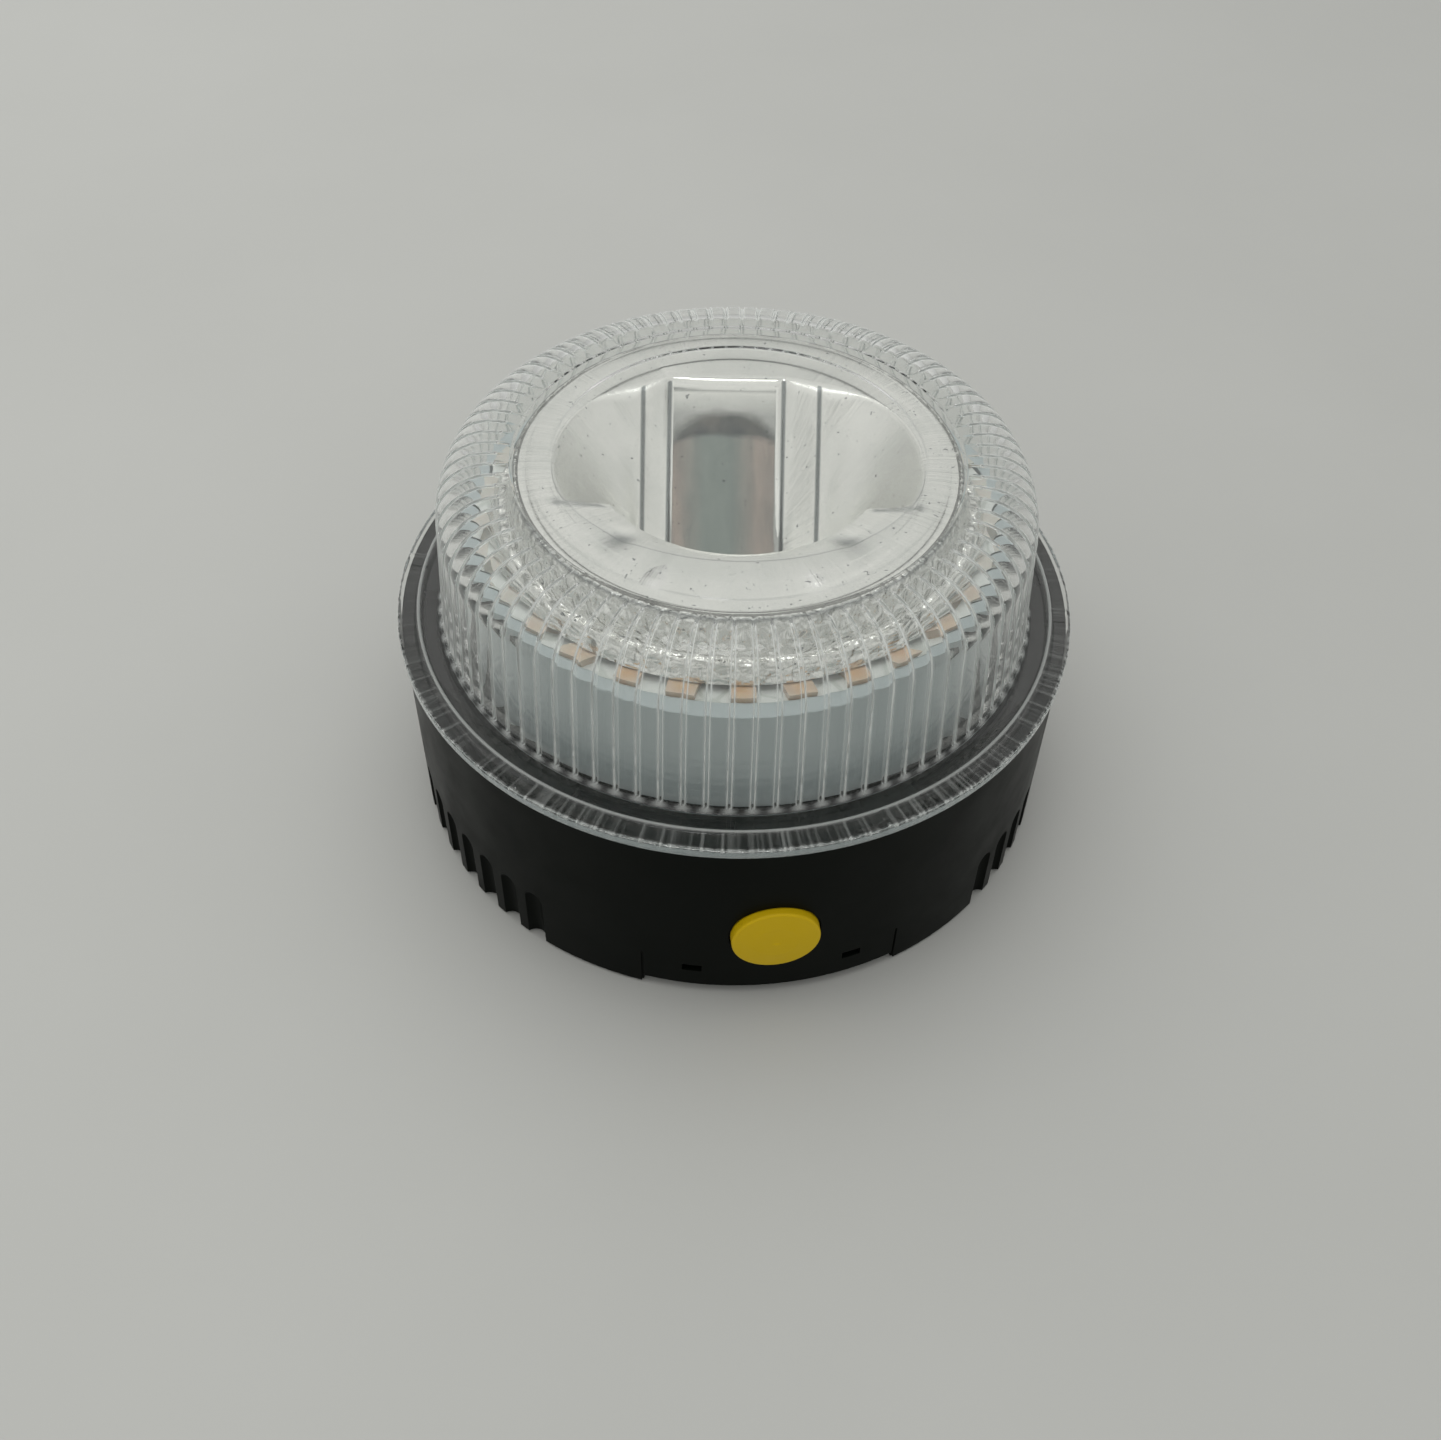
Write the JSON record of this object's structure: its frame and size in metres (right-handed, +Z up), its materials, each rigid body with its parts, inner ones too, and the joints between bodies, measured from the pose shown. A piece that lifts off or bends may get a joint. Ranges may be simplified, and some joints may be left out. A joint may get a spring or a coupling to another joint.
{
  "type": "electronic road flare",
  "caption": "Round electronic road flare: black grip-edged base with a yellow push button, under a clear fluted dome over a lamp ring and a plated oval reflector.",
  "frame": {"origin": "centre of the rubber foot's underside, the rest face on the ground", "axes": "+Z up through the dome, -Y towards the push button, +X to the right seen from the button"},
  "size_m": [0.1, 0.101, 0.0582],
  "materials": {
    "black_plastic": "moulded black plastic, slight sheen",
    "clear_plastic": "clear moulded plastic, polished",
    "black_rubber": "matt rubber",
    "grey_plastic": "light bluish-grey moulded plastic",
    "board": "white solder mask",
    "amber_lens": "amber lens",
    "plated_plastic": "vacuum-plated plastic",
    "yellow_plastic": "soft yellow plastic",
    "dark_plastic": "dark plastic",
    "bare_aluminium": "drawn can",
    "painted_steel": "printed steel jacket without lettering",
    "steel": "zinc plated",
    "red_sleeve": "red wire sleeve",
    "black_sleeve": "black wire sleeve",
    "brass_insert": "knurl-free brass sleeve",
    "plated_magnet": "nickel plated magnet",
    "foam": "soft foam"
  },
  "bodies": {
    "beacon": {"base_housing": "black_plastic", "clear_dome": "clear_plastic", "dome_gasket": "black_rubber", "light_drum": "grey_plastic", "led_ring_board": "board", "amber_leds": "amber_lens", "reflector": "plated_plastic", "switch_body": "dark_plastic", "control_board": "board", "controller_chip": "dark_plastic", "power_inductor": "dark_plastic", "filter_capacitor": "bare_aluminium", "chip_resistors": "dark_plastic", "board_screws": "steel", "battery_body": "painted_steel", "battery_terminals": "steel", "snap_contacts": "steel", "snap_cap": "dark_plastic", "battery_tray": "dark_plastic", "tray_screws": "steel", "drum_screws": "steel", "reflector_screws": "steel", "positive_lead": "red_sleeve", "negative_lead": "black_sleeve", "lamp_leads": "black_sleeve", "screw_insert": "brass_insert"},
    "button": {"push_button": "yellow_plastic", "button_oring": "black_rubber"},
    "plunger": {"switch_plunger": "dark_plastic"},
    "lid": {"bottom_lid": "black_plastic", "lid_seal": "black_rubber", "magnet": "plated_magnet", "foot_pad": "black_rubber", "battery_pad": "foam"},
    "captive_screw": {"lid_screw": "steel", "screw_retainer": "steel"}
  },
  "joints": [
    {"name": "button_press", "type": "slide", "parent": "beacon", "child": "button", "axis": [0, 1, 0], "range_m": [0, 0.0009]},
    {"name": "plunger_travel", "type": "slide", "parent": "beacon", "child": "plunger", "axis": [0, 1, 0], "range_m": [0, 0.0009]},
    {"name": "lid_hinge", "type": "hinge", "parent": "beacon", "child": "lid", "pos_m": [0, 0.0435, 0.002], "axis": [1, 0, 0], "range_deg": [0, 100]},
    {"name": "lid_screw_turn", "type": "hinge", "parent": "lid", "child": "captive_screw", "pos_m": [0, -0.026, 0.002], "axis": [0, 0, 1], "continuous": true}
  ],
  "couplings": [
    {"joint": "plunger_travel", "follows": "button_press", "ratio": 1}
  ]
}
